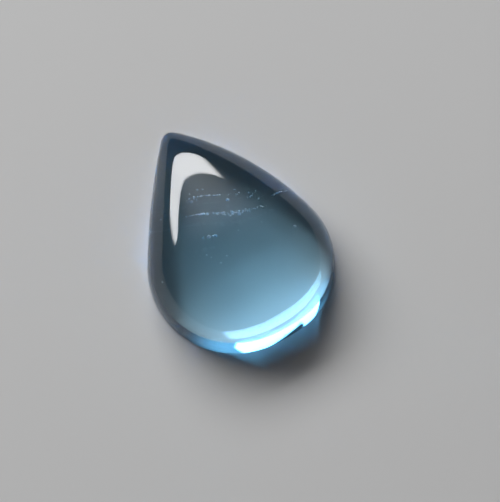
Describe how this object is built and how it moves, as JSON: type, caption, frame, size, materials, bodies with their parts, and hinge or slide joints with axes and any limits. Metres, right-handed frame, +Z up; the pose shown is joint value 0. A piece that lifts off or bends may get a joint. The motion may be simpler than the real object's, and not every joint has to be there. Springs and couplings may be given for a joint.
{
  "type": "pear-shaped cabochon gemstone",
  "caption": "Pear-shaped blue topaz, cut and polished as a cabochon with a smooth see-through dome, a blunt point and a flat base, to set in jewellery or to show loose.",
  "frame": {"origin": "middle of the flat base's bounding box, on the base", "axes": "+Z up through the dome; +Y along the stone from its rounded heel to its pointed tip; +X across it"},
  "size_m": [0.014, 0.018, 0.005],
  "materials": {
    "topaz": "polished clear crystal, pale sky blue"
  },
  "bodies": {
    "root": {"topaz": "topaz"}
  },
  "joints": []
}
